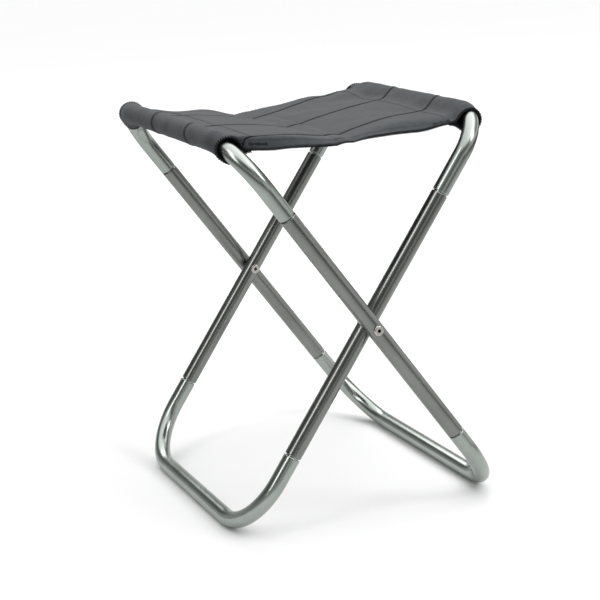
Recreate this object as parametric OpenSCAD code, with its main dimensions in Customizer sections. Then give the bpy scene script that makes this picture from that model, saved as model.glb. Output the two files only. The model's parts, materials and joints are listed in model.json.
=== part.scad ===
// Folding camp stool: two closed tube frames crossed like scissors, riveted
// together at the pivot, with a sewn cloth seat slung between the top tubes.
// Units are millimetres, +Z is up, the floor is Z = 0. X runs from the left
// top tube to the right one, Y runs along the seat from the near side to the
// far side, and the pivot axis is parallel to Y at X = 0.

/* [Overall] */
// distance between the two top tube axes, across the open seat
seat_span = 192.6; // [150:0.2:230]
// height of the top tube axes above the floor
top_height = 279; // [220:1:340]
// distance between the two foot tube axes on the floor
foot_span = 193.8; // [165:0.2:240]
// outside width of the outer frame, over its two legs
outer_width = 249.5; // [205:0.5:310]

/* [Tubes] */
// outside diameter of every frame tube
tube_d = 12; // [10:0.5:14]
// wall thickness of the frame tubes
tube_wall = 1.2; // [0.9:0.1:1.5]
// centre line radius of the outer frame's top corners
outer_top_bend_r = 37; // [26:1:46]
// centre line radius of the inner frame's top corners
inner_top_bend_r = 31; // [24:1:42]
// centre line radius of the outer frame's bottom corners
outer_foot_bend_r = 48; // [38:1:56]
// centre line radius of the inner frame's bottom corners
inner_foot_bend_r = 43; // [34:1:54]
// length from the top tube axis down the frame to the end of the dark leg tube
top_joint_drop = 61.5; // [54:0.5:72]
// length from the foot tube axis up the frame to the end of the dark leg tube
foot_joint_rise = 62.5; // [60:0.5:76]

/* [Tube joints] */
// how far each swaged spigot reaches into the leg tube
spigot_len = 18; // [12:1:24]
// radial clearance between the spigot and the leg tube's bore
spigot_clear = 0.03; // [0.02:0.01:0.08]
// open groove left between the two tube ends at each joint
joint_gap = 0.8; // [0.4:0.1:1.5]
// rounding of the tube ends at each joint
end_round = 0.7; // [0.3:0.1:1]

/* [Pivot] */
// gap between the crossing legs, filled by the spacer washer
leg_gap = 1.0; // [0.6:0.1:2]
// clearance left on each face of the spacer washer
washer_clear = 0.05; // [0.02:0.01:0.1]
// outside diameter of the spacer washer
washer_d = 9; // [8:0.5:11]
// outside diameter of the tubular rivet's shank
rivet_d = 4.4; // [3.6:0.1:5.2]
// diameter of the hole right through the rivet
rivet_bore = 2.6; // [1.8:0.1:3.2]
// diameter of the rivet's rolled heads
rivet_head_d = 7; // [6:0.2:8]
// how far the rolled heads stand out from the leg tubes
rivet_head_h = 1.6; // [1.2:0.1:2.4]
// radial running clearance of the inner legs and the washer on the rivet
rivet_clear = 0.05; // [0.02:0.01:0.09]
// clearance between the rivet's inner head and the side of the inner leg
rivet_end_clear = 0.1; // [0.05:0.05:0.3]

/* [Seat] */
// how far each cloth sleeve follows its tube round the top corners, in degrees
sleeve_wrap = 35; // [20:1:45]
// radial slack between a top tube and the sleeve around it
sleeve_slack = 0.35; // [0.2:0.05:0.8]
// thickness of the seat cloth with its lining
cloth_t = 1.1; // [0.8:0.1:1.6]
// clearance between the cloth's corners and the tube corners when folded
corner_clear = 0.4; // [0.3:0.1:1]
// angle that each half of the seat slopes down from its tube at rest
seat_slope = 6.5; // [4:0.5:10]
// height of the seat cloth's underside over the line from tube to tube
seat_lift = 3; // [1:0.5:5]
// half the width of the loose strip along the fold line of the seat
valley_half = 25.5; // [25:0.5:32]
// spacing of the slanting seams, along the tubes
seam_pitch = 67; // [50:1:80]
// how far each slanting seam moves along Y on its way across the seat
seam_skew = 69; // [40:1:80]
// offset of the middle seam from the middle of the seat
seam_shift = -7; // [-10:1:10]
// width of the overlocked edge along both free sides of the seat
edge_w = 3; // [2:0.5:4]
// how far the overlocked edge stands proud of each face of the cloth
edge_proud = 0.2; // [0.1:0.1:0.5]
// open width of a seam between two strips of cloth
seam_gap = 0.5; // [0.3:0.1:1]

/* [Hidden] */
$fn = 48;
tube_r = tube_d / 2;
rivet_r = rivet_d / 2;
top_z = top_height;
foot_z = tube_r;                                  // the foot tubes lie on the floor
xt = seat_span / 2;
xf = foot_span / 2;
side_len = sqrt(pow(xt + xf, 2) + pow(top_z - foot_z, 2));
lean = atan2(xt + xf, top_z - foot_z);            // legs from the vertical
pivot_z = foot_z + (top_z - foot_z) * xf / (xt + xf);
pivot_s = (top_z - pivot_z) / cos(lean);          // down the frame, from the top axis
outer_y = outer_width / 2 - tube_r;               // leg axes of the outer frame
inner_y = outer_y - tube_d - leg_gap;             // leg axes of the inner frame
plug_r = tube_r - tube_wall;                      // bore of the leg tubes
spigot_r = plug_r - spigot_clear;
spigot_bore_r = spigot_r - tube_wall;             // the swage keeps the wall
sleeve_bore_r = tube_r + sleeve_slack;
sleeve_r = sleeve_bore_r + cloth_t;
outer_straight = outer_y - outer_top_bend_r;      // half the straight top tube
inner_straight = inner_y - inner_top_bend_r;
seat_width_outer = 2 * (outer_straight + outer_top_bend_r * sin(sleeve_wrap));
seat_width_inner = 2 * (inner_straight + inner_top_bend_r * sin(sleeve_wrap));
mid_width = (seat_width_outer + seat_width_inner) / 2;
// along the cloth, from beside a tube's axis to the fold line
half_len = (xt - seat_lift * sin(seat_slope)) / cos(seat_slope);
// where the flat cloth starts, just clear of the sleeve
cloth_u0 = sqrt(pow(sleeve_r, 2) - pow(seat_lift, 2)) + seam_gap;
grow = 60;                                        // longer than any tube's radius

// which piece to draw, or "all" for the whole stool

// ---------------------------------------------------------------- frame tubes

// Places a flat frame: its own -Y is down the legs, its own X runs along the
// tubes, and its origin is the middle of the top tube's axis. side is -1 for
// the frame whose top tube is on the left, +1 for the other.
module in_frame(side) {
    translate([side * xt, 0, top_z])
        rotate([0, side * lean, 0])
            rotate([90, 0, 0])
                rotate([0, 90, 0])
                    children();
}

// A solid cross rod in the XY plane with its two quarter-circle corners.
module corner_rod(r, straight, bend) {
    translate([-straight, 0, 0]) rotate([0, 90, 0]) cylinder(r = r, h = 2 * straight);
    for (s = [-1, 1])
        translate([s * straight, -bend, 0])
            rotate([0, 0, s > 0 ? 0 : 90])
                rotate_extrude(angle = 90) translate([bend, 0]) circle(r = r);
}

// A U of tube in the XY plane: a cross rod with its corners and two straight
// arms that stop at arm_end. Solid, of the given radius, with the arms' end
// edges rounded by e.
module u_rod(r, half, bend, arm_end, e) {
    corner_rod(r, half - bend, bend);
    for (s = [-1, 1])
        translate([s * half, -bend, 0]) rotate([90, 0, 0])
            rod(r, arm_end - bend, 0, e);
}

// A solid rod along +Z with its first and last edges rounded by e0 and e1.
module rod(r, h, e0, e1) {
    rotate_extrude() {
        translate([0, e0]) square([r, h - e0 - e1]);
        square([r - max(e0, e1), h]);
        if (e0 > 0) rounded_corner(r - e0, e0, e0);
        if (e1 > 0) rounded_corner(r - e1, h - e1, e1);
    }
}

module rounded_corner(x, y, e) {
    intersection() {
        translate([x, y]) circle(r = e);
        translate([x - e / 2, y - e]) square([2 * e, 2 * e]);
    }
}

// A bright U bend: full diameter up to the joint, then a spigot swaged down to
// fit inside the leg tube. The wall is the same all the way and the tube is
// open from end to end.
module u_bend(half, bend, arm_end) {
    neck = 3;
    difference() {
        union() {
            u_rod(tube_r, half, bend, arm_end, end_round);
            for (s = [-1, 1])
                translate([s * half, -arm_end + neck, 0]) rotate([90, 0, 0])
                    cylinder(r = spigot_r, h = spigot_len + neck);
        }
        u_rod(plug_r, half, bend, arm_end - neck, 0);
        for (s = [-1, 1])
            translate([s * half, -arm_end + 2 * neck, 0]) rotate([90, 0, 0])
                cylinder(r = spigot_bore_r, h = spigot_len + 3 * neck);
    }
}

// A dark straight leg tube between the two joints, drilled across at the pivot.
// The outer legs grip the rivet and the inner legs turn on it.
module leg(half, hole_r) {
    leg_top = top_joint_drop + joint_gap;
    leg_len = side_len - top_joint_drop - foot_joint_rise - 2 * joint_gap;
    translate([half, -leg_top, 0]) rotate([90, 0, 0])
        difference() {
            rod(tube_r, leg_len, end_round, end_round);
            translate([0, 0, -1]) cylinder(r = plug_r, h = leg_len + 2);
            translate([0, 0, pivot_s - leg_top]) rotate([0, 90, 0])
                cylinder(r = hole_r, h = grow, center = true);
        }
}

module top_bend(side, half, bend) {
    in_frame(side) u_bend(half, bend, top_joint_drop);
}

module bottom_bend(side, half, bend) {
    in_frame(side) translate([0, -side_len, 0]) rotate([0, 0, 180])
        u_bend(half, bend, foot_joint_rise);
}

module outer_top_bend() { color([0.66, 0.68, 0.67]) top_bend(-1, outer_y, outer_top_bend_r); }
module outer_bottom_bend() { color([0.66, 0.68, 0.67]) bottom_bend(-1, outer_y, outer_foot_bend_r); }
module outer_leg_near() { color([0.23, 0.22, 0.21]) in_frame(-1) leg(-outer_y, rivet_r); }
module outer_leg_far() { color([0.23, 0.22, 0.21]) in_frame(-1) leg(outer_y, rivet_r); }

module inner_top_bend() { color([0.7, 0.72, 0.71]) top_bend(1, inner_y, inner_top_bend_r); }
module inner_bottom_bend() { color([0.7, 0.72, 0.71]) bottom_bend(1, inner_y, inner_foot_bend_r); }
module inner_leg_near() {
    color([0.27, 0.26, 0.25]) in_frame(1) leg(-inner_y, rivet_r + rivet_clear);
}
module inner_leg_far() {
    color([0.27, 0.26, 0.25]) in_frame(1) leg(inner_y, rivet_r + rivet_clear);
}

// ---------------------------------------------------------------------- pivot

// A tubular rivet along +Z, from the stool's middle outwards. Its shank passes
// through both legs. The outer head is cupped round the outer leg, and the
// rolled inner head is flat, so that the inner leg can turn under it.
module rivet() {
    inside_z = inner_y - tube_r - rivet_end_clear;
    outside_z = outer_y + tube_r;
    head_r = rivet_head_d / 2;
    sink = tube_r - sqrt(tube_r * tube_r - head_r * head_r);
    difference() {
        union() {
            translate([0, 0, inside_z - rivet_head_h / 2])
                cylinder(r = rivet_r, h = outside_z - inside_z + rivet_head_h);
            difference() {
                translate([0, 0, outside_z - sink]) head(head_r, sink + rivet_head_h);
                translate([0, 0, outer_y]) rotate([0, 0, lean]) rotate([90, 0, 0])
                    cylinder(r = tube_r, h = 4 * tube_d, center = true);
            }
            translate([0, 0, inside_z]) mirror([0, 0, 1]) head(head_r, rivet_head_h);
        }
        translate([0, 0, inside_z - grow]) cylinder(r = rivet_bore / 2, h = 3 * grow);
    }
}

// A rolled head: a low drum with a rounded rim.
module head(r, h) {
    rim = rivet_head_h * 0.45;
    rotate_extrude() {
        square([r - rim, h]);
        square([r, h - rim]);
        translate([r - rim, h - rim]) circle(r = rim);
    }
}

module washer() {
    z = inner_y + tube_r + washer_clear;
    translate([0, 0, z]) difference() {
        cylinder(r = washer_d / 2, h = leg_gap - 2 * washer_clear);
        translate([0, 0, -1]) cylinder(r = rivet_r + rivet_clear, h = leg_gap + 2);
    }
}

// Turns a piece made along +Z so that +Z points to the far (+Y) side, with its
// own Y along the row's Z, or mirrors it to the near side.
module at_pivot(near) {
    translate([0, 0, pivot_z])
        mirror([0, near ? 1 : 0, 0]) rotate([-90, 0, 0]) mirror([0, 1, 0]) children();
}

module rivet_near() { color([0.8, 0.78, 0.76]) at_pivot(true) rivet(); }
module rivet_far() { color([0.8, 0.78, 0.76]) at_pivot(false) rivet(); }
module washer_near() { color([0.1, 0.1, 0.1]) at_pivot(true) washer(); }
module washer_far() { color([0.1, 0.1, 0.1]) at_pivot(false) washer(); }

// ----------------------------------------------------------------------- seat

// One half of the seat lies in a plane that slopes down from its top tube to
// the fold line. In that plane U is the distance from the tube's axis and V is
// the row's Y. side is -1 for the left half and +1 for the right half.
module on_half(side) {
    translate([side * xt, 0, top_z])
        mirror([side > 0 ? 1 : 0, 0, 0]) rotate([0, seat_slope, 0])
            translate([0, 0, seat_lift]) children();
}

// Half the width of the cloth at a distance u from the tube of that side.
function half_w(side, u) =
    ((side < 0 ? seat_width_outer : seat_width_inner) * (1 - u / half_len)
     + mid_width * u / half_len) / 2;

// Where seam number i crosses distance u from the tube of that side.
function seam_y(side, i, u) =
    seam_shift + i * seam_pitch
    + side * (half_len - u) / half_len * seam_skew / 2;

// The part of a half's plane that stays clear of its own frame's corners and
// legs once the stool is folded and the cloth hangs along the frame.
module clear_2d(side) {
    straight = side < 0 ? outer_straight : inner_straight;
    bend = side < 0 ? outer_top_bend_r : inner_top_bend_r;
    inside_r = bend - sleeve_r - corner_clear;
    translate([0, -straight]) square([half_len, 2 * straight]);
    translate([bend, -straight - inside_r])
        square([half_len - bend, 2 * (straight + inside_r)]);
    for (s = [-1, 1]) translate([bend, s * straight]) circle(r = inside_r);
}

// The outline of one strip between the lines lo and hi, each [at the sleeve,
// at the valley].
module strip_2d(u0, u1, lo, hi) {
    polygon([[u0, lo[0]], [u1, lo[1]], [u1, hi[1]], [u0, hi[0]]]);
}

// The cloth of one half, without its overlocked edges.
module cloth_2d(side, u0, u1) {
    strip_2d(u0, u1, [-half_w(side, u0) + edge_w, -half_w(side, u1) + edge_w],
             [half_w(side, u0) - edge_w, half_w(side, u1) - edge_w]);
}

// Strip number k (0 near to 3 far) of one half of the seat.
module strip(side, k) {
    u0 = cloth_u0;
    u1 = half_len - valley_half;
    big = seat_width_outer;
    lo = k == 0 ? [-big, -big]
       : [seam_y(side, k - 2, u0) + seam_gap / 2, seam_y(side, k - 2, u1) + seam_gap / 2];
    hi = k == 3 ? [big, big]
       : [seam_y(side, k - 1, u0) - seam_gap / 2, seam_y(side, k - 1, u1) - seam_gap / 2];
    on_half(side) linear_extrude(height = cloth_t) intersection() {
        strip_2d(u0, u1, lo, hi);
        cloth_2d(side, u0, u1);
        clear_2d(side);
    }
}

// The overlocked edge of one half, on the near (-1) or far (+1) side.
module edge(side, far) {
    u0 = cloth_u0;
    u1 = half_len - valley_half;
    a = [half_w(side, u0), half_w(side, u1)];
    in = edge_w - seam_gap / 2;
    on_half(side) translate([0, 0, -edge_proud])
        linear_extrude(height = cloth_t + 2 * edge_proud) intersection() {
            mirror([0, far > 0 ? 0 : 1, 0])
                strip_2d(u0, u1, [a[0] - in, a[1] - in], [a[0], a[1]]);
            clear_2d(side);
        }
}

// A cloth sleeve round a top tube, open at both ends, which follows the tube
// some way round both corners.
module sleeve(side, straight, bend) {
    reach = straight + bend * sin(sleeve_wrap);
    in_frame(side) intersection() {
        difference() {
            corner_rod(sleeve_r, straight, bend);
            corner_rod(sleeve_bore_r, straight, bend);
        }
        cube([2 * reach, grow, grow], center = true);
    }
}

// A point of the left half's cross section, u along the cloth and w above its
// underside, as [x, z].
function section(u, w) = [
    -xt + u * cos(seat_slope) + (seat_lift + w) * sin(seat_slope),
    top_z - u * sin(seat_slope) + (seat_lift + w) * cos(seat_slope)
];

// The loose strip along the fold line, hanging in a shallow V between the two
// halves. Its ends follow the taper of the cloth.
module valley() {
    u1 = half_len - valley_half + seam_gap;
    u_past = u1 - 5;
    fold = section(half_len, 0)[1];
    left = [section(u1, 0), section(u1, cloth_t)];
    right = [for (p = left) [-p[0], p[1]]];
    x_past = section(u_past, 0)[0];
    intersection() {
        rotate([90, 0, 0])
            linear_extrude(height = 2 * seat_width_outer, center = true)
                polygon([left[0], [0, fold], right[0], right[1],
                         [0, fold + cloth_t / cos(seat_slope)], left[1]]);
        linear_extrude(height = 2 * top_z)
            polygon([
                [x_past, -half_w(-1, u_past)], [0, -mid_width / 2],
                [-x_past, -half_w(1, u_past)], [-x_past, half_w(1, u_past)],
                [0, mid_width / 2], [x_past, half_w(-1, u_past)]
            ]);
    }
}

module sleeve_left() {
    color([0.2, 0.21, 0.23]) sleeve(-1, outer_straight, outer_top_bend_r);
}
module sleeve_right() {
    color([0.24, 0.25, 0.27]) sleeve(1, inner_straight, inner_top_bend_r);
}
module near_strip_left() { color([0.3, 0.33, 0.36]) strip(-1, 0); }
module near_mid_strip_left() { color([0.36, 0.38, 0.41]) strip(-1, 1); }
module far_mid_strip_left() { color([0.3, 0.33, 0.36]) strip(-1, 2); }
module far_strip_left() { color([0.36, 0.38, 0.41]) strip(-1, 3); }
module near_strip_right() { color([0.3, 0.33, 0.36]) strip(1, 0); }
module near_mid_strip_right() { color([0.36, 0.38, 0.41]) strip(1, 1); }
module far_mid_strip_right() { color([0.3, 0.33, 0.36]) strip(1, 2); }
module far_strip_right() { color([0.36, 0.38, 0.41]) strip(1, 3); }
module seat_valley() { color([0.33, 0.35, 0.38]) valley(); }
module near_edge_left() { color([0.1, 0.11, 0.12]) edge(-1, -1); }
module far_edge_left() { color([0.1, 0.11, 0.12]) edge(-1, 1); }
module near_edge_right() { color([0.1, 0.11, 0.12]) edge(1, -1); }
module far_edge_right() { color([0.1, 0.11, 0.12]) edge(1, 1); }

outer_top_bend();
outer_bottom_bend();
outer_leg_near();
outer_leg_far();
inner_top_bend();
inner_bottom_bend();
inner_leg_near();
inner_leg_far();
rivet_near();
rivet_far();
washer_near();
washer_far();
sleeve_left();
sleeve_right();
near_strip_left();
near_mid_strip_left();
far_mid_strip_left();
far_strip_left();
near_strip_right();
near_mid_strip_right();
far_mid_strip_right();
far_strip_right();
seat_valley();
near_edge_left();
far_edge_left();
near_edge_right();
far_edge_right();
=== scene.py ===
import json
import math

import bpy
import numpy as np
import mathutils.noise
from mathutils import Matrix, Vector


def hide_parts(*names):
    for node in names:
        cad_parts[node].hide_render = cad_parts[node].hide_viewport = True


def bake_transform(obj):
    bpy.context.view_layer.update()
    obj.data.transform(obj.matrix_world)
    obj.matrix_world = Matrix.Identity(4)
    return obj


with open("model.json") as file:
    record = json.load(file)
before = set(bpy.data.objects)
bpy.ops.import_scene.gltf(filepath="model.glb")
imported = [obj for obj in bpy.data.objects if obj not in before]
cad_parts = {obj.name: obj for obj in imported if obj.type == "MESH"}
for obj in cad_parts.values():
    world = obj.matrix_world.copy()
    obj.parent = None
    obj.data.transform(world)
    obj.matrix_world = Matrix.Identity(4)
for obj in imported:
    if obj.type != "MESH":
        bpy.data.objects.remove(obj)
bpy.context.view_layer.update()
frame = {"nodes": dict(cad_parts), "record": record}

MM = 0.001
record = frame["record"]
behaviour = record["behaviour"]
places = {entry["name"]: [round(v / MM, 3) for v in entry["pos_m"]]
          for entry in behaviour["joints"] + record["mounts"]}
# the stool's own sizes, in millimetres, as the CAD has them
XT, _, TOP_Z = places["seat_right_drop"]     # top tube axes, at X = -XT and XT
FOOT_X = places["floor_line_outer"][0]       # foot tube axes, TUBE_R over the floor
TUBE_R = 6.0                                 # the tubes' outer radius
LEAN = math.atan2(XT + FOOT_X, TOP_Z - TUBE_R)
PIVOT_Z = places["fold"][2]
A_HALF, B_HALF = 103.0, 92.5     # half the cloth's width at each sleeve
SEAMS = ((-107, -40), (-43.5, 30), (25.5, 94))    # Y of each seam at the two tubes
CREASE_X = -12.5                 # the seat's lowest line, a little left of the fold
THREAD_PAIR = 1.1                # the weave repeats over this length


# ------------------------------------------------------------------ materials

def new_mat(name):
    """A material with one principled shader: (material, node tree, shader)."""
    m = bpy.data.materials.new(name)
    m.use_nodes = True
    nt = m.node_tree
    nt.nodes.clear()
    out = nt.nodes.new("ShaderNodeOutputMaterial")
    bsdf = nt.nodes.new("ShaderNodeBsdfPrincipled")
    nt.links.new(bsdf.outputs["BSDF"], out.inputs["Surface"])
    return m, nt, bsdf


def coords(nt, scale=(1, 1, 1)):
    """The vector of the object's own coordinates, in metres, times SCALE."""
    tc = nt.nodes.new("ShaderNodeTexCoord")
    mp = nt.nodes.new("ShaderNodeMapping")
    mp.inputs["Scale"].default_value = scale
    nt.links.new(tc.outputs["Object"], mp.inputs["Vector"])
    return mp.outputs["Vector"]


def noise(nt, vec, scale, detail, rough):
    """Cloudy noise from 0 to 1."""
    n = nt.nodes.new("ShaderNodeTexNoise")
    n.inputs["Scale"].default_value = scale
    n.inputs["Detail"].default_value = detail
    n.inputs["Roughness"].default_value = rough
    nt.links.new(vec, n.inputs["Vector"])
    return n.outputs["Fac"]


def ramp(nt, fac, stops):
    """Colour by a factor; each stop is (position, (red, green, blue))."""
    r = nt.nodes.new("ShaderNodeValToRGB")
    e = r.color_ramp.elements
    while len(e) < len(stops):
        e.new(0.5)
    for s, (pos, col) in zip(e, stops):
        s.position = pos
        s.color = (*col, 1)
    nt.links.new(fac, r.inputs["Fac"])
    return r.outputs["Color"]


def math_node(nt, op, *values):
    """One sum; each value is a number or another node's output."""
    n = nt.nodes.new("ShaderNodeMath")
    n.operation = op
    for i, v in enumerate(values):
        if isinstance(v, (int, float)):
            n.inputs[i].default_value = v
        else:
            nt.links.new(v, n.inputs[i])
    return n.outputs[0]


def bump(nt, bsdf, height, strength, distance):
    """Relief in the shading only, DISTANCE metres high."""
    b = nt.nodes.new("ShaderNodeBump")
    b.inputs["Strength"].default_value = strength
    b.inputs["Distance"].default_value = distance
    nt.links.new(height, b.inputs["Height"])
    nt.links.new(b.outputs["Normal"], bsdf.inputs["Normal"])


def metal(name, base, dark, light, wear, rough, cloudy):
    """Anodised or plated metal: fine grain, faint cloudiness and a few small rubs."""
    m, nt, b = new_mat(name)
    b.inputs["Metallic"].default_value = 1.0
    v = coords(nt)
    cloud = noise(nt, v, 28, 5, 0.6)
    col = ramp(nt, cloud, [(0.3, dark), (0.5, base), (0.72, light)])
    spots = noise(nt, v, 420, 2, 0.5)
    rub = ramp(nt, spots, [(0.66, (0, 0, 0)), (0.74, (1, 1, 1))])
    mix = nt.nodes.new("ShaderNodeMix")
    mix.data_type = "RGBA"
    nt.links.new(col, mix.inputs["A"])
    mix.inputs["B"].default_value = (*wear, 1)
    keep = math_node(nt, "MULTIPLY", rub, 0.35)
    nt.links.new(keep, mix.inputs["Factor"])
    nt.links.new(mix.outputs["Result"], b.inputs["Base Color"])
    fine = noise(nt, v, 900, 3, 0.6)
    r = math_node(nt, "MULTIPLY_ADD", cloud, cloudy, rough - cloudy / 2)
    nt.links.new(math_node(nt, "MULTIPLY_ADD", fine, 0.05, r), b.inputs["Roughness"])
    bump(nt, b, fine, 0.02, 0.0001)
    return m


def cloth_material(name, base, dark, light):
    """Plain-weave coated cloth: warp and weft follow the sheet's flat coordinates."""
    m, nt, b = new_mat(name)
    b.inputs["Roughness"].default_value = 0.82
    b.inputs["Sheen Weight"].default_value = 0.16
    b.inputs["Sheen Roughness"].default_value = 0.45
    b.inputs["Specular IOR Level"].default_value = 0.3
    at = nt.nodes.new("ShaderNodeAttribute")
    at.attribute_name = "weave_uv"
    sep = nt.nodes.new("ShaderNodeSeparateXYZ")
    nt.links.new(at.outputs["Vector"], sep.inputs[0])
    threads = 2 * math.pi / THREAD_PAIR
    warp = math_node(nt, "SINE", math_node(nt, "MULTIPLY", sep.outputs["X"], threads))
    weft = math_node(nt, "SINE", math_node(nt, "MULTIPLY", sep.outputs["Y"], threads))
    weave = math_node(nt, "MULTIPLY_ADD", math_node(nt, "MULTIPLY", warp, weft), 0.5, 0.5)
    v = coords(nt)
    mottle = noise(nt, v, 160, 4, 0.65)
    slub = noise(nt, v, 1400, 2, 0.5)
    f = math_node(nt, "MULTIPLY_ADD", weave, 0.22, math_node(nt, "MULTIPLY", mottle, 0.6))
    f = math_node(nt, "MULTIPLY_ADD", slub, 0.25, f)
    nt.links.new(ramp(nt, f, [(0.25, dark), (0.55, base), (0.9, light)]), b.inputs["Base Color"])
    height = math_node(nt, "MULTIPLY_ADD", weave, 0.8, math_node(nt, "MULTIPLY", slub, 0.4))
    bump(nt, b, height, 0.35, 0.00025)
    return m


def thread_material(name, base, light):
    """Sewing thread with the slanting bands of its twist."""
    m, nt, b = new_mat(name)
    b.inputs["Roughness"].default_value = 0.85
    b.inputs["Specular IOR Level"].default_value = 0.08
    b.inputs["Sheen Weight"].default_value = 0.03
    w = nt.nodes.new("ShaderNodeTexWave")
    w.wave_type = "BANDS"
    w.bands_direction = "DIAGONAL"
    w.inputs["Scale"].default_value = 900
    w.inputs["Distortion"].default_value = 2
    nt.links.new(coords(nt), w.inputs["Vector"])
    nt.links.new(ramp(nt, w.outputs["Fac"], [(0.2, base), (0.9, light)]), b.inputs["Base Color"])
    bump(nt, b, w.outputs["Fac"], 0.4, 0.0002)
    return m


def washer_material(name, base, light):
    """Matt black nylon."""
    m, nt, b = new_mat(name)
    b.inputs["Roughness"].default_value = 0.5
    n = noise(nt, coords(nt), 700, 3, 0.6)
    nt.links.new(ramp(nt, n, [(0.3, base), (0.8, light)]), b.inputs["Base Color"])
    bump(nt, b, n, 0.2, 0.0002)
    return m


BRIGHT = metal("bright_tube", (0.42, 0.455, 0.43), (0.385, 0.42, 0.395), (0.47, 0.50, 0.48),
               (0.60, 0.63, 0.61), rough=0.20, cloudy=0.08)
DARK = metal("dark_tube", (0.27, 0.275, 0.265), (0.245, 0.25, 0.24), (0.305, 0.31, 0.30),
             (0.38, 0.375, 0.37), rough=0.21, cloudy=0.08)
RIVET = metal("rivet", (0.70, 0.655, 0.62), (0.60, 0.56, 0.53), (0.8, 0.76, 0.73),
              (0.45, 0.42, 0.40), rough=0.20, cloudy=0.10)
CLOTH = cloth_material("seat_cloth", (0.055, 0.0605, 0.067), (0.030, 0.033, 0.038),
                       (0.094, 0.101, 0.110))
# the lining: the cloth's dark coated side, made darker still as painted shade for the shadowed
# inside of the sleeves and the seat's underside
LINING_AND_PAINTED_SHADE = cloth_material("seat_lining", (0.02, 0.021, 0.023), (0.012, 0.012, 0.014),
                        (0.04, 0.042, 0.045))
THREAD = thread_material("seat_thread", (0.006, 0.007, 0.008), (0.018, 0.020, 0.023))
TONAL = thread_material("hem_thread", (0.066, 0.07, 0.076), (0.105, 0.112, 0.12))
SHADE = thread_material("needle_thread", (0.035, 0.038, 0.042), (0.07, 0.075, 0.08))
WASHER = washer_material("washer", (0.015, 0.015, 0.016), (0.035, 0.035, 0.037))

by_slot = {"bright_tube": BRIGHT, "dark_tube": DARK, "rivet": RIVET, "washer": WASHER,
           "seat_cloth": CLOTH, "seat_thread": THREAD}
slots = {s["node"]: s["material_slot"] for s in record["subparts"]}
for name, obj in frame["nodes"].items():
    obj.data.materials.clear()
    obj.data.materials.append(by_slot[slots[name]])


# ---------------------------------------------------------------- seat surface
# Lengths in this part are millimetres. Each half of the seat is one sheet: a
# flap sewn under the cloth, a loop round the top tube, and the panel as far as
# the fold line X = 0. It is worked out for the left half; the right half is
# the same sheet mirrored, with its own widths and heights.

HALF_T = 0.5                     # half the cloth's thickness
PANEL_X = 80.0                   # where the panel proper starts, from X = 0
FLAP_X = 77.0                    # where the flap is sewn on
FOLD_GAP = 0.12                  # the least gap between the folded halves
SEWN_GAP = 0.12                  # between the flap and the cloth over it
LOW_Z = 271.6                    # the face's height along the crease
SLACK = 0.25                     # between the sleeve and its tube
LEG = (math.sin(LEAN), -math.cos(LEAN))     # down the left frame, as (x, z)
# each tube runs straight as far as STRAIGHT from the middle and then bends with
# radius BEND; SINK is how far the sleeve's near and far mouths droop
SIDES = {
    "left": dict(mirror=1, half=A_HALF, straight=81.75, bend=37.0, sink=(3.6, 1.2)),
    "right": dict(mirror=-1, half=B_HALF, straight=74.75, bend=31.0, sink=(4.9, 3.3)),
}
MOUTH = 17.0                     # length over which a sleeve opens towards its mouth
# rows along Y, and columns of the flap, loop, shoulder and panel
ROWS, FLAP_N, LOOP_N, SHOULDER_N, PANEL_N = 201, 9, 44, 12, 58
HANG_STEPS = 24


def smooth(t):
    """A ramp from 0 to 1 that starts and ends level."""
    t = np.clip(t, 0.0, 1.0)
    return t * t * (3 - 2 * t)


def half_width(x):
    """Half the cloth's width at row X."""
    return A_HALF + (B_HALF - A_HALF) * (x + XT) / (2 * XT)


def hang(x, w):
    """The free edge's fall past the last seam: how far out it goes and how far down."""
    left, right = smooth(-x / 78), smooth(x / 52)
    near = w < 0
    inset = np.where(near, 13.0 - 9.8 * left + 5.0 * right, 12.0 - 2.0 * left)
    near_steep = 14 + 61 * left + 18 * right - 12 * smooth((x - 50) / 24)
    far_steep = 17 + 17 * left + right
    steepest = np.radians(np.where(near, near_steep, far_steep))
    ease = np.where(near, 9.0 - 5.0 * left + 3.0 * right, 9.0)     # length of the turn down
    start = half_width(x) - inset
    past = np.maximum(np.abs(w) - start, 0.0)
    out, down = np.zeros_like(past), np.zeros_like(past)
    for k in range(HANG_STEPS):
        angle = steepest * smooth(past * (k + 0.5) / HANG_STEPS / ease)
        out += np.cos(angle) * past / HANG_STEPS
        down += np.sin(angle) * past / HANG_STEPS
    return np.minimum(np.abs(w), start) + out, down


def edge_fall(x, v):
    """Y and the drop of the cloth's point on row V; the near left corner is longer."""
    spare = np.where(v < 0, 7.2 * smooth(-x / 78), 0.6 * smooth(-x / 78))
    w = v * (half_width(x) + spare)
    out, down = hang(x, w)
    return np.sign(v) * out, down


def meeting_line():
    """Where the folded halves would touch: the height over the tube and its slope."""
    frame_turn = math.radians(behaviour["joints"][0]["range_deg"][1] / 2)
    half_turn = frame_turn * (1 + 2 * behaviour["couplings"][0]["ratio"])
    arm = math.hypot(XT, TOP_Z - PIVOT_Z)
    half_gap = arm * math.sin(math.atan2(XT, TOP_Z - PIVOT_Z) - frame_turn) - FOLD_GAP / 2
    return round(TOP_Z + half_gap / math.sin(half_turn), 2), round(1 / math.tan(half_turn), 4)


MEET_Z, MEET_SLOPE = meeting_line()


def meeting(x):
    """The greatest height the face may have: there the folded halves would touch."""
    return MEET_Z - MEET_SLOPE * (XT - np.abs(x))


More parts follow.
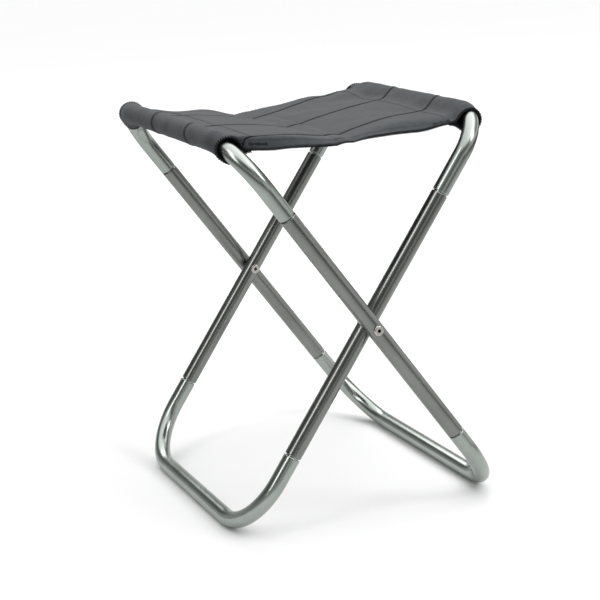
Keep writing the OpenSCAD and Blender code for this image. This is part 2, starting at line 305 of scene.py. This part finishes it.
def crown(x, v):
    """Height of the cloth's upper face between the sleeves."""
    tube_x = 84.0                              # where each slope ends, by its tube
    left = np.clip((CREASE_X - x) / (tube_x + CREASE_X), 0, 1)
    right = np.clip((x - CREASE_X) / (tube_x - CREASE_X), 0, 1)
    z = LOW_Z + np.where(x < CREASE_X, 10.8 * (1 - (1 - left) ** 1.5),
                         8.0 * (1 - (1 - right) ** 1.4))
    # the middle of the near edge is taut and stands a little higher
    middle = np.exp(-((x + 10) / 45) ** 2)
    z = z + 1.5 * middle * np.exp(-((v + 0.72) / 0.3) ** 2)
    # the far side lies lower, and so do the near right and the far left corners
    z = z - 1.3 * smooth((v - 0.15) / 0.5) * (1 + 0.7 * smooth(x / 60))
    z = z - 1.3 * smooth((x - 45) / 30) * smooth((-v - 0.1) / 0.4)
    z = z - 2.3 * smooth((v - 0.45) / 0.4) * np.exp(-((x + 68) / 15) ** 2)
    # the far edge climbs to the right tube
    z = z + smooth((v - 0.4) / 0.4) * (1.9 * smooth((x - 12) / 22) + 2.0 * smooth((x - 58) / 16))
    # the taut edges ripple
    ripple = smooth((np.abs(v) - 0.6) / 0.4) * (1 - np.exp(-(x / 14) ** 2))
    z = z + ripple * np.where(v > 0, 0.9, 0.35) * np.sin(x / 6.6 + np.where(v > 0, 0.4, 2.0))
    # a soft minimum with the meeting height
    z = -np.logaddexp(-3 * z, -3 * (meeting(x) - 0.35)) / 3
    return z - edge_fall(x, v)[1]


def row_y(x, v):
    """Where row V lies along Y, drawn in where the edge hangs."""
    return edge_fall(x, v)[0]


def tube_support(theta, bend, past):
    """Support of the tube's section, PAST mm into its bend, with the sleeve's slack."""
    outside = bend - math.sqrt((bend + TUBE_R) ** 2 - past ** 2)
    inside = bend - math.sqrt((bend - TUBE_R) ** 2 - past ** 2)
    drop, reach = (outside + inside) / 2, (inside - outside) / 2
    n = (np.cos(theta), np.sin(theta))
    along = n[0] * LEG[0] + n[1] * LEG[1]
    across = -n[0] * LEG[1] + n[1] * LEG[0]
    spread = np.sqrt((reach * along) ** 2 + (TUBE_R * across) ** 2)
    return drop * along + spread + HALF_T + SLACK


def loop_curve(side, y, theta):
    """The sleeve's section at Y, as x and z from the tube's straight axis."""
    s = SIDES[side]
    past = max(0.0, abs(y) - s["straight"])
    opened = float(smooth((abs(y) - (s["half"] - MOUTH)) / MOUTH))
    fine = np.linspace(-2 * math.pi, 0.5, 700)
    # the sleeve's own oval as a support function: centre, then half-axes
    inward, sink = 3.6 * opened, s["sink"][0 if y < 0 else 1] * opened
    wide, tall = 6.8 + 1.8 * opened, 6.8 + 0.6 * opened
    own = (inward * np.cos(fine) - sink * np.sin(fine)
           + np.sqrt((wide * np.cos(fine)) ** 2 + (tall * np.sin(fine)) ** 2))
    own = own + 0.5 * math.exp(-(s["half"] - abs(y)) / 1.4)        # the rim flares
    # a soft maximum with the tube's section, which keeps the cloth outside the tube
    h = np.logaddexp(4 * own, 4 * tube_support(fine, s["bend"], past)) / 4
    dh = np.gradient(h, fine)
    x = h * np.cos(fine) - dh * np.sin(fine)
    z = h * np.sin(fine) + dh * np.cos(fine)
    return np.interp(theta, fine, x), np.interp(theta, fine, z)


def bezier(p0, d0, p1, d1, t):
    """A curve that leaves P0 along D0 and arrives at P1 along D1."""
    t = t[:, None]
    a, b = p0 + d0, p1 - d1
    return (1 - t) ** 3 * p0 + 3 * (1 - t) ** 2 * t * a + 3 * (1 - t) * t * t * b + t ** 3 * p1


def unit(v):
    """The vector's direction."""
    return v / np.linalg.norm(v)


def middle_sheet(side):
    """Middle of the sheet as rows of points, flap first and fold line last."""
    m, half = SIDES[side]["mirror"], SIDES[side]["half"]
    rows = []
    for v in np.linspace(-1, 1, ROWS):
        y = v * half
        opened = float(smooth((abs(v) - 0.84) / 0.16))
        theta = np.radians(np.linspace(-50, -300 - 24 * opened, LOOP_N))
        lx, lz = loop_curve(side, y, theta)
        loop = np.stack([lx - XT, np.full(LOOP_N, y), lz + TOP_Z], 1)
        x = np.linspace(-PANEL_X, 0, PANEL_N)
        panel = np.stack([x, row_y(m * x, v), crown(m * x, v) - HALF_T], 1)
        slope = (panel[1] - panel[0]) / (panel[1, 0] - panel[0, 0])
        pull = 0.36 * np.linalg.norm(panel[0] - loop[-1])
        shoulder = bezier(loop[-1], unit(loop[-1] - loop[-2]) * pull, panel[0], slope * pull,
                          np.linspace(0, 1, SHOULDER_N + 2)[1:-1])
        under = crown(-m * FLAP_X, v) - 3 * HALF_T - SEWN_GAP
        sewn = np.array([-FLAP_X, row_y(-m * FLAP_X, v), under])
        pull = 0.4 * np.linalg.norm(sewn - loop[0])
        flap = bezier(sewn, -slope * pull, loop[0], unit(loop[1] - loop[0]) * pull,
                      np.linspace(0, 1, FLAP_N + 1)[:-1])
        rows.append(np.concatenate([flap, loop, shoulder, panel]))
    return np.array(rows)                          # [row, column, xyz]


def seam_line(seam):
    """A seam as its Y at the left tube and its slope along X."""
    y_left, y_right = seam
    return y_left, (y_right - y_left) / (2 * XT)


def seam_relief(flat_x, y, on_sleeve):
    """Height of the seams' grooves and ridges over the plain cloth."""
    groove, ridge, hollow = 1.2, 1.9, 7.0      # half-width, the ridges' distance, half-width
    out = np.zeros_like(y)
    for seam in SEAMS:
        y_left, slope = seam_line(seam)
        d = (y - (y_left + slope * (flat_x + XT))) / math.hypot(1, slope)
        out += -0.55 * np.exp(-(d / groove) ** 2)
        out += (0.34 + 0.3 * on_sleeve) * np.exp(-((d - ridge) / groove) ** 2)
        out += 0.3 * on_sleeve * np.exp(-((d + ridge) / groove) ** 2)
        out -= 0.22 * np.exp(-(d / hollow) ** 2)
    return out


def linked(name, data):
    """A new object in the scene."""
    obj = bpy.data.objects.new(name, data)
    bpy.context.scene.collection.objects.link(obj)
    return obj


class Half:
    """One half of the seat: its sheet, its flat coordinates and its faces."""

    def __init__(self, side):
        self.mirror = SIDES[side]["mirror"]
        self.mid = middle_sheet(side)
        cols = self.mid.shape[1]
        step = np.linalg.norm(np.diff(self.mid, axis=1), axis=2)
        run = np.concatenate([np.zeros((ROWS, 1)), np.cumsum(step, axis=1)], 1)
        panel0 = cols - PANEL_N
        self.flat = run - run[:, panel0:panel0 + 1] - PANEL_X        # local flat X
        along = np.gradient(self.mid, axis=1)
        across = np.gradient(self.mid, axis=0)
        n = np.cross(along, across)
        self.n = n / np.linalg.norm(n, axis=2, keepdims=True)
        self.top = self.mid + self.n * (HALF_T + self.relief())[:, :, None]
        self.under = self.mid - self.n * HALF_T

    def relief(self):
        """Height of seams, puckers and soft dents over the plain sheet."""
        cols = self.mid.shape[1]
        on_sleeve = np.zeros((1, cols))
        on_sleeve[0, FLAP_N:FLAP_N + LOOP_N] = 1
        flat_x, y = self.mirror * self.flat, self.mid[:, :, 1]
        height = seam_relief(flat_x, y, on_sleeve)
        for i in range(ROWS):
            for j in range(cols):
                p = Vector((flat_x[i, j] / 24, y[i, j] / 17, self.mirror * 3.0))
                height[i, j] += 0.35 * mathutils.noise.noise(p)
        # fine puckers near the sleeve's near mouth, 2.3 mm apart
        pucker = np.sin(flat_x * 2 * math.pi / 2.3 + y * 0.25) * np.exp(-((y + 86) / 15) ** 2)
        height += 0.11 * pucker * on_sleeve
        room = meeting(self.mid[:, :, 0]) - FOLD_GAP - self.mid[:, :, 2] - HALF_T
        height[:, -PANEL_N:] = np.minimum(height, room)[:, -PANEL_N:]
        # the flap is plain, and the relief grows over the loop's first columns
        height[:, :FLAP_N] = 0
        height[:, FLAP_N:] *= np.clip(np.arange(cols - FLAP_N) / 4, 0, 1)
        return height

    def place(self, pts):
        """Local points, mirrored to this half's side, in metres."""
        return np.asarray(pts) * np.array([self.mirror, 1, 1]) * MM

    def at(self, col, row, grid):
        """A point of a grid at a whole column and a fractional row."""
        r0 = int(min(max(row, 0), ROWS - 1.001))
        f = row - r0
        return grid[r0, col] * (1 - f) + grid[r0 + 1, col] * f

    def solid(self, name):
        """The closed cloth: face, lining side and rim, with the weave's coordinates; the lining
        side is the cloth's dark coated side, darkened further as painted shade.
        """
        rows, cols = self.mid.shape[:2]
        verts = np.concatenate([self.top.reshape(-1, 3), self.under.reshape(-1, 3)])
        idx = np.arange(rows * cols).reshape(rows, cols)
        low = idx + rows * cols
        flat_uv = np.stack([self.mirror * self.flat, self.mid[:, :, 1]], 2).reshape(-1, 2)

        def quads(a, b, c, d):
            return np.stack([a.ravel(), b.ravel(), c.ravel(), d.ravel()], 1)

        top = quads(idx[:-1, :-1], idx[:-1, 1:], idx[1:, 1:], idx[1:, :-1])
        under = quads(low[:-1, :-1], low[1:, :-1], low[1:, 1:], low[:-1, 1:])
        rim = [quads(idx[0, :-1], low[0, :-1], low[0, 1:], idx[0, 1:]),
               quads(idx[-1, 1:], low[-1, 1:], low[-1, :-1], idx[-1, :-1]),
               quads(idx[1:, 0], low[1:, 0], low[:-1, 0], idx[:-1, 0]),
               quads(idx[:-1, -1], low[:-1, -1], low[1:, -1], idx[1:, -1])]
        faces = np.concatenate([top, under] + rim)
        if self.mirror < 0:
            faces = faces[:, ::-1]
        mesh = bpy.data.meshes.new(name)
        mesh.from_pydata(self.place(verts).tolist(), [], faces.tolist())
        mesh.materials.append(CLOTH)
        mesh.materials.append(LINING_AND_PAINTED_SHADE)
        # the underside faces take the lining, a dark coating darkened further as painted shade
        slot = np.zeros(len(faces), int)
        slot[len(top):len(top) + len(under)] = 1
        mesh.polygons.foreach_set("material_index", slot)
        shaded_smooth = np.ones(len(faces), bool)
        shaded_smooth[len(top) + len(under):] = False
        mesh.polygons.foreach_set("use_smooth", shaded_smooth)
        weave = mesh.attributes.new("weave_uv", "FLOAT_VECTOR", "POINT")
        uv = np.concatenate([flat_uv, flat_uv])
        weave.data.foreach_set("vector", np.column_stack([uv, np.zeros(len(uv))]).ravel())
        mesh.update()
        mesh.set_sharp_from_angle(angle=math.radians(55))
        return linked(name, mesh)

    def area(self):
        """The sheet's area in square metres."""
        a = np.linalg.norm(np.cross(self.mid[1:, :-1] - self.mid[:-1, :-1],
                                    self.mid[:-1, 1:] - self.mid[:-1, :-1]), axis=2)
        return float(a.sum()) * MM * MM


# -------------------------------------------------------------- threads, swept

def sweep(path, radius, sides, verts, faces):
    """Adds a closed tube along the path, with a radius for each of its points."""
    path = np.asarray(path, float)
    tangent = np.gradient(path, axis=0)
    tangent /= np.linalg.norm(tangent, axis=1, keepdims=True) + 1e-12
    ref = np.where(np.abs(tangent[:, 2:3]) < 0.9, [[0, 0, 1.0]], [[1.0, 0, 0]])
    a = np.cross(tangent, ref)
    a /= np.linalg.norm(a, axis=1, keepdims=True)
    b = np.cross(tangent, a)
    ang = np.linspace(0, 2 * math.pi, sides, endpoint=False)
    ring = (a[:, None] * np.cos(ang)[None, :, None] + b[:, None] * np.sin(ang)[None, :, None])
    r = np.broadcast_to(np.asarray(radius, float), (len(path),))
    pts = path[:, None] + ring * r[:, None, None]
    base = len(verts)
    verts.extend(pts.reshape(-1, 3).tolist())
    for i in range(len(path) - 1):
        for k in range(sides):
            k2 = (k + 1) % sides
            faces.append([base + i * sides + k, base + i * sides + k2,
                          base + (i + 1) * sides + k2, base + (i + 1) * sides + k])
    faces.append([base + k for k in range(sides)][::-1])
    faces.append([base + (len(path) - 1) * sides + k for k in range(sides)])


def thread_piece(name, half, paths, material, sides=6):
    """One piece made of threads; each path is (points, radius) in millimetres."""
    verts, faces = [], []
    for path, radius in paths:
        sweep(path, radius, sides, verts, faces)
    mesh = bpy.data.meshes.new(name)
    if half.mirror < 0:
        faces = [f[::-1] for f in faces]
    mesh.from_pydata(half.place(verts).tolist(), [], faces)
    mesh.materials.append(material)
    mesh.polygons.foreach_set("use_smooth", [True] * len(faces))
    mesh.update()
    return linked(name, mesh)


def resample(path, gap):
    """The path with evenly spaced points, and each point's distance along it."""
    path = np.asarray(path)
    d = np.concatenate([[0], np.cumsum(np.linalg.norm(np.diff(path, axis=0), axis=1))])
    s = np.linspace(0, d[-1], max(2, int(d[-1] / gap)))
    return np.stack([np.interp(s, d, path[:, k]) for k in range(3)], 1), s


def seam_paths(half):
    """The dark stitched line in each slanting seam's groove."""
    radius, swell, stitch = 0.74, 0.12, 2.6
    out = []
    for seam in SEAMS:
        y_left, slope = seam_line(seam)
        pts = []
        for col in range(FLAP_N + 4, half.mid.shape[1]):
            y_col, x_col = half.mid[:, col, 1], half.mirror * half.flat[:, col]
            off = y_col - (y_left + slope * (x_col + XT))
            if off[0] > -1.2 or off[-1] < 1.2:
                continue
            row = float(np.interp(0, off, np.arange(ROWS)))
            lift = half.at(col, row, half.n)
            pts.append(half.at(col, row, half.top) - lift * 0.18)
        if len(pts) > 8:
            path, s = resample(pts, 0.6)
            out.append((path, radius + swell * np.sin(2 * math.pi * s / stitch)))
    return out


def inwards(end_row):
    """The step from an edge row to the rows inside it."""
    return 1 if end_row == 0 else -1


def overlock_path(half, row):
    """A thread wound round the cut edge of the sheet, over and under."""
    pitch, thickness, radius, gap = 1.8, 0.85, 0.42, 0.15
    edge, s = resample(half.mid[row], gap)
    inner, _ = resample(half.mid[row + 3 * inwards(row)], gap)
    k = np.linspace(0, len(inner) - 1, len(edge)).round().astype(int)
    inward = inner[k] - edge
    inward /= np.linalg.norm(inward, axis=1, keepdims=True)
    along = np.gradient(edge, axis=0)
    along /= np.linalg.norm(along, axis=1, keepdims=True)
    normal = np.cross(along, inward)
    phi = 2 * math.pi * s / pitch
    thick = thickness * (0.4 + 0.6 * smooth(np.abs(edge[:, 0]) / 16))   # flatter at the fold
    uneven = 1 + 0.12 * np.sin(s / 3.1) + 0.08 * np.sin(s / 1.3 + 1)
    path = (edge + inward * (0.4 - 1.0 * np.cos(phi) * uneven)[:, None]
            + normal * (thick * np.sin(phi))[:, None])
    return [(path, radius)]


def bar_tack(half, end_row):
    """A short dense zigzag that holds the hem's corner, just inside the free edge."""
    grid = half.top + half.n * 0.1
    first = half.mid.shape[1] - PANEL_N + 1
    pts = []
    for k in range(19):
        zigzag = (0.9 if k % 2 else -0.9) + 0.5 * math.sin(2.3 * k)
        row = end_row + inwards(end_row) * (3.4 + zigzag)
        col = first + k * 0.55
        j, f = int(col), col - int(col)
        pts.append(half.at(j, row, grid) * (1 - f) + half.at(j + 1, row, grid) * f)
    path, _ = resample(pts, 0.3)
    return [(path, 0.22)]


def dashes(line, stitch, pitch, gap, radius):
    """Stitches of length STITCH, one every PITCH along the line."""
    path, s = resample(line, gap)
    out, at = [], 0.0
    while at + stitch < s[-1]:
        inside = (s >= at) & (s <= at + stitch)
        if inside.sum() > 2:
            out.append((path[inside], radius))
        at += pitch
    return out


def needle_row(half, end_row):
    """The overlock's needle row, a line of short stitches inside the free edge."""
    row, first = end_row + inwards(end_row) * 6, FLAP_N + LOOP_N + 4
    line = half.top[row, first:] + half.n[row, first:] * 0.05
    return dashes(line, stitch=1.5, pitch=2.5, gap=0.4, radius=0.24)


def hem_stitches(half):
    """The row of stitches that closes the sleeve, along the sewn flap."""
    col = half.mid.shape[1] - PANEL_N + 3
    line = half.top[8:-8, col] + half.n[8:-8, col] * 0.05
    return dashes(line, stitch=2.2, pitch=3.0, gap=0.5, radius=0.26)


# ------------------------------------------------------------ the seat's pieces

halves = {side: Half(side) for side in SIDES}
STRIPS = ("near_strip", "near_mid_strip", "far_mid_strip", "far_strip")


def across_joint(obj):
    """Bakes the piece's placement into its mesh and returns it."""
    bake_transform(obj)
    return obj


for side, half in halves.items():
    cloth = across_joint(half.solid("cloth_" + side))
    covered = ["sleeve_" + side] + [f"{s}_{side}" for s in STRIPS]
    if side == "left":
        covered.append("seat_valley")
    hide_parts(*covered)
    threads = [thread_piece("seam_thread_" + side, half, seam_paths(half), THREAD)]
    for end, row in (("near", 0), ("far", ROWS - 1)):
        coil = thread_piece(f"{end}_overlock_{side}", half, overlock_path(half, row), THREAD, 5)
        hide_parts(f"{end}_edge_{side}")
        threads.append(coil)
        threads.append(thread_piece(f"{end}_bar_tack_{side}", half, bar_tack(half, row), THREAD))
        threads.append(thread_piece(f"{end}_needle_row_{side}", half, needle_row(half, row), SHADE))
    threads.append(thread_piece("hem_stitches_" + side, half, hem_stitches(half), TONAL))
    for t in threads:
        across_joint(t)
    length = float(np.mean(half.flat[:, -1] - half.flat[:, 0])) * MM
    width = 2 * SIDES[side]["half"] * MM
    if side == "right":
        width = 2 * float(half_width(0.0)) * MM
    min(half.area(), width * length)

# ------------------------------------------------------------- camera and room
# Places are metres here, and angles are radians.

def place_camera(place, yaw, pitch, roll, lens, shift):
    """A level camera looking along +Y, turned left by YAW, down by PITCH, then rolled."""
    forward = Vector((-math.sin(yaw) * math.cos(pitch), math.cos(yaw) * math.cos(pitch),
                      -math.sin(pitch)))
    level_right = forward.cross(Vector((0, 0, 1))).normalized()
    level_up = level_right.cross(forward)
    right = level_right * math.cos(roll) + level_up * math.sin(roll)
    up = level_up * math.cos(roll) - level_right * math.sin(roll)
    data = bpy.data.cameras.new("camera")
    data.sensor_width = 36
    data.lens = lens
    data.shift_x, data.shift_y = shift
    data.clip_end = 60
    camera = linked("camera", data)
    turn = Matrix((right, up, -forward)).transposed().to_4x4()
    camera.matrix_world = Matrix.Translation(place) @ turn
    bpy.context.scene.camera = camera


def floor_material():
    """White to the camera; in reflections it darkens away from the stool."""
    m, nt, b = new_mat("pale_floor")
    b.inputs["Roughness"].default_value = 0.9
    b.inputs["Specular IOR Level"].default_value = 0.0
    far = nt.nodes.new("ShaderNodeVectorMath")
    far.operation = "LENGTH"
    nt.links.new(coords(nt, (0.33, 0.33, 0.33)), far.inputs[0])
    reflected = ramp(nt, far.outputs["Value"],
                     [(0.0, (0.80, 0.81, 0.80)), (0.12, (0.62, 0.63, 0.62)),
                      (0.38, (0.14, 0.145, 0.14)), (1.0, (0.05, 0.052, 0.05))])
    grain = noise(nt, coords(nt), 3.0, 2, 0.5)
    white = ramp(nt, grain, [(0.0, (0.93, 0.93, 0.93)), (1.0, (0.95, 0.95, 0.95))])
    seen = nt.nodes.new("ShaderNodeLightPath")
    tone = nt.nodes.new("ShaderNodeMix")
    tone.data_type = "RGBA"
    nt.links.new(seen.outputs["Is Camera Ray"], tone.inputs["Factor"])
    nt.links.new(reflected, tone.inputs["A"])
    nt.links.new(white, tone.inputs["B"])
    nt.links.new(tone.outputs["Result"], b.inputs["Base Color"])
    return m


def lay_floor(radius):
    """A wide round floor under the stool."""
    mesh = bpy.data.meshes.new("floor")
    around = np.linspace(0, 2 * math.pi, 96)[:-1]
    ring = [(radius * math.cos(a), radius * math.sin(a), 0) for a in around]
    mesh.from_pydata(ring, [], [list(range(len(ring)))])
    mesh.materials.append(floor_material())
    linked("floor", mesh)


def studio_world():
    """Soft bands of light from the horizon up, stronger on the right."""
    world = bpy.data.worlds.new("studio")
    bpy.context.scene.world = world
    world.use_nodes = True
    nt = world.node_tree
    sky = nt.nodes.new("ShaderNodeTexCoord")
    split = nt.nodes.new("ShaderNodeSeparateXYZ")
    nt.links.new(sky.outputs["Generated"], split.inputs[0])
    height = math_node(nt, "MULTIPLY_ADD", split.outputs["Z"], 0.5, 0.5)
    bands = ramp(nt, height,
                 [(0.0, (0.3, 0.3, 0.3)), (0.5, (0.22, 0.22, 0.22)), (0.56, (0.42, 0.43, 0.42)),
                  (0.66, (0.07, 0.075, 0.07)), (0.79, (0.13, 0.135, 0.13)), (0.87, (1.0, 1.0, 1.0)),
                  (1.0, (1.0, 1.0, 1.0))])
    side_on = math_node(nt, "MULTIPLY_ADD", split.outputs["X"], 0.36, 0.70)
    background = nt.nodes["Background"]
    nt.links.new(bands, background.inputs["Color"])
    nt.links.new(math_node(nt, "MULTIPLY", side_on, 2.35), background.inputs["Strength"])


def softbox(name, place, size, watts):
    """A rectangular lamp that points at the middle of the stool."""
    data = bpy.data.lights.new(name, "AREA")
    data.shape = "RECTANGLE"
    data.size, data.size_y = size
    data.energy = watts
    lamp = linked(name, data)
    lamp.location = place
    aim = Vector((0, 0, 0.15)) - Vector(place)
    lamp.rotation_euler = aim.to_track_quat("-Z", "Y").to_euler()


place_camera((-0.469, -1.0989, 0.4404), yaw=-0.399, pitch=0.2498, roll=-0.0513,
             lens=98.39, shift=(0.0029, 0.0059))
lay_floor(16)
studio_world()
softbox("key", (1.5, -1.6, 1.9), (0.9, 1.4), 17)
softbox("edge", (-1.6, -0.6, 1.2), (0.45, 1.3), 6)
softbox("back", (0.4, 2.0, 1.7), (1.6, 0.7), 10)
bpy.context.scene.view_settings.view_transform = "Standard"
